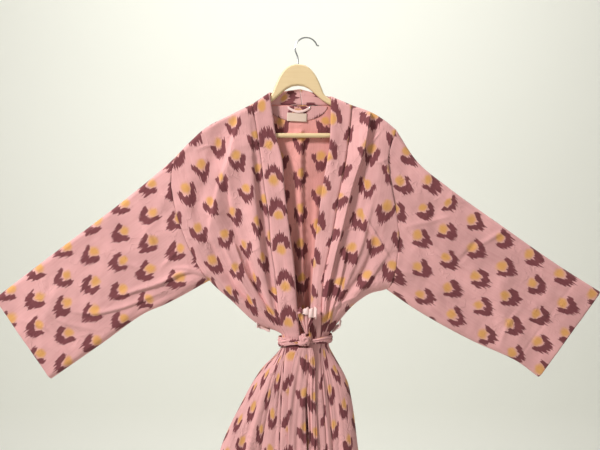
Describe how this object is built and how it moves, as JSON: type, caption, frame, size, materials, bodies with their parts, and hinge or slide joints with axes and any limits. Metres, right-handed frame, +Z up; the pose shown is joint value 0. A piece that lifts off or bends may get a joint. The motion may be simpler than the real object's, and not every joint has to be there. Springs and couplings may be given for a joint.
{
  "type": "kimono robe on a hanger",
  "caption": "Open kimono robe of ikat cotton with wide sleeves, a neck band and a knotted tie belt, hung on a flat wooden hanger by its wire hook.",
  "frame": {"origin": "inside top of the hanger hook's crook, where a rail or wall hook holds the robe", "axes": "+Z up along the hanging robe, +X to the viewer's right when its open front is faced, -Y out of its front"},
  "size_m": [1.268, 0.0927, 1.3972],
  "materials": {
    "ikat_cotton": "plain-woven ikat cotton, soft matt",
    "pink_cotton": "plain-woven pale pink cotton, soft matt",
    "label_tape": "woven satin tape, soft sheen",
    "wood": "birch, clear satin lacquer",
    "hook_wire": "nickel-plated wire, bright"
  },
  "bodies": {
    "root": {"back_left": "ikat_cotton", "back_right": "ikat_cotton", "front_left": "ikat_cotton", "front_right": "ikat_cotton", "sleeve_left": "ikat_cotton", "sleeve_right": "ikat_cotton", "band_left": "ikat_cotton", "band_right": "ikat_cotton", "neck_patch": "ikat_cotton", "label": "label_tape", "hang_loop": "pink_cotton", "belt_wrap": "ikat_cotton", "belt_knot": "ikat_cotton", "belt_bow": "ikat_cotton", "belt_tail_left": "ikat_cotton", "belt_tail_right": "ikat_cotton", "belt_loop_left": "pink_cotton", "belt_loop_right": "pink_cotton", "hanger_body": "wood", "hanger_bar": "wood", "hanger_hook": "hook_wire"}
  },
  "joints": []
}
